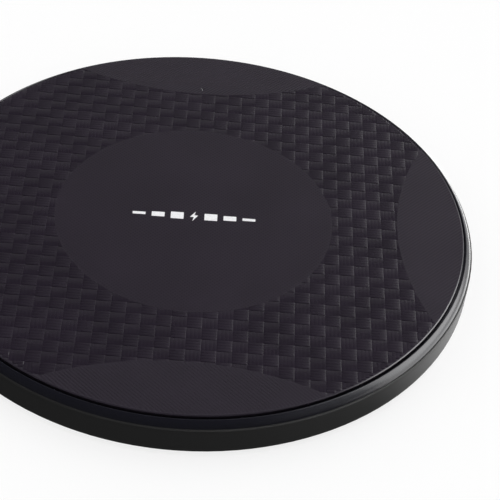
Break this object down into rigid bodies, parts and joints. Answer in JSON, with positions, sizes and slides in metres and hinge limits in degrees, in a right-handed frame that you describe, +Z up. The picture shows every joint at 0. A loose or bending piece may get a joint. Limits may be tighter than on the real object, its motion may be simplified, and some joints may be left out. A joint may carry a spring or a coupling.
{
  "type": "wireless charging pad",
  "caption": "Round low-profile wireless charging pad with a woven-pattern top plate, glossy bezel, rubber feet, rear power socket, and its coil and circuit board inside.",
  "frame": {"origin": "centre of the plane that the feet rest on", "axes": "+Z up out of the charging face, +X along the printed mark's reading direction, +Y towards the power socket at the back"},
  "size_m": [0.1, 0.1, 0.008],
  "materials": {
    "plate_lacquer": "satin dark lacquer over a fine moulded basket weave and hatched plain fields",
    "bezel_gloss": "polished black plastic",
    "shell_plastic": "black plastic with a very fine spark texture",
    "foot_rubber": "matt black rubber",
    "screw_steel": "zinc-plated steel",
    "label_film": "blank printed film",
    "board_laminate": "green solder mask over glass laminate",
    "tinned_steel": "tin-plated sheet steel",
    "moulded_black": "glass-filled moulding",
    "gold_contact": "gold flash on copper alloy",
    "coil_copper": "enamelled stranded copper wire, stood in for by brass in the mass",
    "ferrite": "sintered ferrite",
    "adhesive_film": "double-sided adhesive film",
    "foam": "closed-cell foam",
    "lead_insulation": "white lead insulation",
    "chip_mould": "black epoxy moulding",
    "tinned_copper": "tinned copper",
    "capacitor_ceramic": "fired ceramic",
    "inductor_body": "pressed ferrite",
    "led_package": "white package with a clear lens",
    "clear_plastic": "clear moulded plastic",
    "solder": "solder"
  },
  "bodies": {
    "root": {"top_plate": "plate_lacquer", "bezel_ring": "bezel_gloss", "bottom_shell": "shell_plastic", "rubber_feet": "foot_rubber", "case_screws": "screw_steel", "rating_label": "label_film", "circuit_board": "board_laminate", "board_screws": "screw_steel", "socket_shell": "tinned_steel", "socket_insulator": "moulded_black", "socket_contacts": "gold_contact", "coil_winding": "coil_copper", "coil_leads": "coil_copper", "ferrite_disc": "ferrite", "coil_film": "adhesive_film", "foam_pad": "foam", "thermistor": "chip_mould", "thermistor_leads": "lead_insulation", "controller_chip": "chip_mould", "controller_pins": "tinned_copper", "bridge_transistors": "chip_mould", "transistor_pads": "tinned_copper", "resonance_capacitors": "capacitor_ceramic", "filter_capacitors": "capacitor_ceramic", "power_inductor": "inductor_body", "inductor_core": "ferrite", "chip_resistors": "chip_mould", "chip_terminals": "tinned_copper", "crystal": "tinned_steel", "status_led": "led_package", "light_pipe": "clear_plastic", "solder_joints": "solder"}
  },
  "joints": []
}
